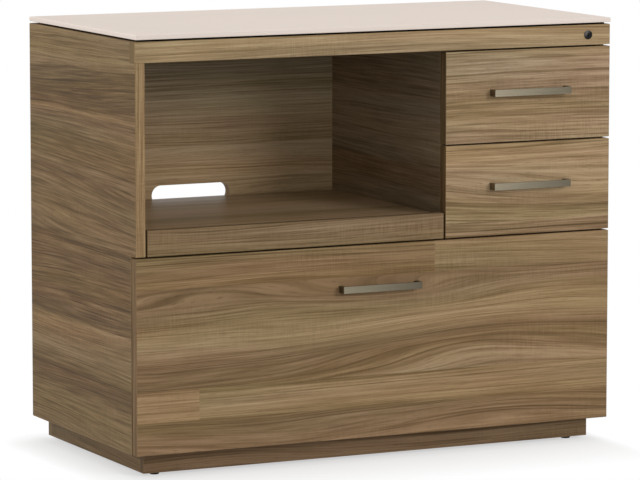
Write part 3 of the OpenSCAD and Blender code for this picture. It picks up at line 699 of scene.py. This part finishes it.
def slide_screws(drawer):
    """Places of the screws and levers on the webs of both inner slide members, on the side of the case."""
    low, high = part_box(drawer + "_slide_inners")
    z = (low[2] + high[2]) / 2
    webs = ((low[0] + INNER_WEB, (-1, 0, 0)), (high[0] - INNER_WEB, (1, 0, 0)))
    lines = [low[1] + share * (high[1] - low[1]) for share in SLIDE_SCREWS]
    screws = [((x, y, z), way) for x, way in webs for y in lines]
    levers = [((x, low[1] + LEVER_PLACE, z), way) for x, way in webs]
    return screws, levers


def front_screws(drawer):
    """Places on the inner face of a box's front end: for the front itself, and for its pull."""
    low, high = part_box(drawer + "_box_ends")
    y = low[1] + BOX_WALL
    way = (0, 1, 0)
    columns = [low[0] + FRONT_SCREW_IN, high[0] - FRONT_SCREW_IN]
    rows = [low[2] + FRONT_SCREW_RISE, high[2] - FRONT_SCREW_DROP]
    first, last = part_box(drawer + "_pull")
    pull_z = (first[2] + last[2]) / 2
    front = [((x, y, z), way) for x in columns for z in rows]
    pull = [((x, y, pull_z), way) for x in (first[0] + PULL_SCREW_IN, last[0] - PULL_SCREW_IN)]
    return front, pull


def catch_screws(drawer):
    """Places on the right side of a catch, near its rear end."""
    low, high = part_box(drawer + "_catch")
    z = (low[2] + high[2]) / 2
    return [((low[0] + CATCH_THICK, high[1] - back, z), (1, 0, 0)) for back in CATCH_SCREWS]


def rail_screws():
    """Places on the tabs at the ends of the hanging rails."""
    low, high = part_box("hanging_rails")
    z = high[2] - TAB_SCREW_DROP
    tabs = ((low[0] + TAB_THICK, (1, 0, 0)), (high[0] - TAB_THICK, (-1, 0, 0)))
    return [((x, y, z), way) for x, way in tabs for y in (low[1] + TAB_HALF, high[1] - TAB_HALF)]


def bumper_places():
    """Places on the front edges of the case, near the corners of each drawer front."""
    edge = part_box("mid_panel")[0][1]
    places = []
    for drawer in ("upper", "lower"):
        low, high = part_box(drawer + "_front")
        places += [(x, edge, z) for x in SMALL_BUMPERS_X for z in (low[2] + BUMPER_IN, high[2] - BUMPER_IN)]
    for panel in ("mid_panel", "bottom_panel"):
        low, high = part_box(panel)
        places += [(x, edge, (low[2] + high[2]) / 2) for x in (low[0] + BUMPER_IN, high[0] - BUMPER_IN)]
    return [(place, (0, -1, 0)) for place in places]


def make_fittings(zinc, nylon):
    small = screw_head(*SMALL_SCREW)
    large = screw_head(*LARGE_SCREW)
    for drawer, body in (("upper", "upper_drawer"), ("lower", "lower_drawer"), ("file", "file_drawer")):
        screws, levers = slide_screws(drawer)
        front, pull = front_screws(drawer)
        screws += front + catch_screws(drawer)
        if drawer == "file":
            screws += rail_screws()
        fit(drawer + "_screws", small, screws, body, zinc)
        fit(drawer + "_pull_screws", large, pull, body, zinc)
        fit(drawer + "_slide_levers", lever(), levers, body, nylon)
    fit("shelf_screws", small, slide_screws("shelf")[0], "printer_shelf", zinc)
    fit("front_bumpers", bumper(), bumper_places(), "case", nylon)


# Camera, light and floor


def make_camera():
    data = bpy.data.cameras.new("camera")
    data.sensor_width = SENSOR_MM
    data.lens = FOCAL_PIXELS / IMAGE_WIDTH * SENSOR_MM
    data.clip_end = CAMERA_SIGHT
    camera = bpy.data.objects.new("camera", data)
    camera.location = CAMERA_PLACE
    camera.rotation_euler = (math.radians(90 - CAMERA_PITCH), 0.0, math.radians(-CAMERA_YAW))
    bpy.context.scene.collection.objects.link(camera)
    bpy.context.scene.camera = camera


def seen(g):
    """1 for the rays that show the background: from the camera, off gloss and through glass."""
    path = g.tree.nodes.new("ShaderNodeLightPath").outputs
    direct = g.math("MAXIMUM", path["Is Camera Ray"], path["Is Glossy Ray"])
    return g.math("MAXIMUM", direct, path["Is Transmission Ray"])


def make_world():
    """White where it is seen, and an even grey fill on the part."""
    world = bpy.data.worlds.new("studio")
    bpy.context.scene.world = world
    world.use_nodes = True
    g = Graph(world.node_tree)
    background = world.node_tree.nodes["Background"].inputs
    background["Color"].default_value = WHITE
    g.feed(background["Strength"], g.math("MAXIMUM", seen(g), WORLD_FILL))


def make_lamps():
    for name, (place, aim, size, power) in LAMPS.items():
        data = bpy.data.lights.new(name, "AREA")
        data.shape = "DISK"
        data.size = size
        data.energy = power
        lamp = bpy.data.objects.new(name, data)
        lamp.location = place
        lamp.rotation_euler = (Vector(aim) - Vector(place)).to_track_quat("-Z", "Y").to_euler()
        bpy.context.scene.collection.objects.link(lamp)


def shadow_share(g):
    """How much of the shadow shows at a place: the most near the plinth, and none far from it."""
    place = g.coordinates("Object")
    distance = 0.0
    for axis, ((low, high), (under, over)) in enumerate(zip(SHADOW_AREA, SHADOW_REACH)):
        below = g.math("MAXIMUM", g.scaled(place[axis], -1.0 / under, low / under), 0.0)
        above = g.math("MAXIMUM", g.scaled(place[axis], 1.0 / over, -high / over), 0.0)
        outside = g.math("ADD", below, above)
        distance = g.math("MULTIPLY_ADD", outside, outside, distance)
    return g.remap(distance, 0.0, 1.0, FLOOR_SHADOW, 0.0)


def floor_material():
    """White with part of the shadow where it is seen, and a grey floor for all other rays."""
    material, g, _ = new_material("floor")
    shows = seen(g)
    share = g.math("MULTIPLY_ADD", shows, g.math("SUBTRACT", shadow_share(g), 1.0), 1.0)
    level = g.math("MULTIPLY_ADD", shows, 1.0 - FLOOR_BOUNCE, FLOOR_BOUNCE)
    lit = g.add("ShaderNodeBsdfDiffuse", {"Color": g.grey(level)})
    white = g.add("ShaderNodeEmission", {"Color": WHITE, "Strength": 1.0})
    shown = g.add("ShaderNodeMixShader", {0: share, 1: white, 2: lit})
    g.feed(g.tree.nodes["Material Output"].inputs["Surface"], shown)
    return material


def make_floor():
    mesh = bpy.data.meshes.new("floor")
    h = FLOOR_HALF
    mesh.from_pydata([(-h, -h, 0), (h, -h, 0), (h, h, 0), (-h, h, 0)], [], [(0, 1, 2, 3)])
    mesh.materials.append(floor_material())
    floor = bpy.data.objects.new("floor", mesh)
    bpy.context.scene.collection.objects.link(floor)


make_camera()
make_world()
make_lamps()
make_floor()
dress_walnut()
dress_pulls()
make_fittings(*dress_rest())

bpy.context.scene.view_settings.view_transform = "Standard"
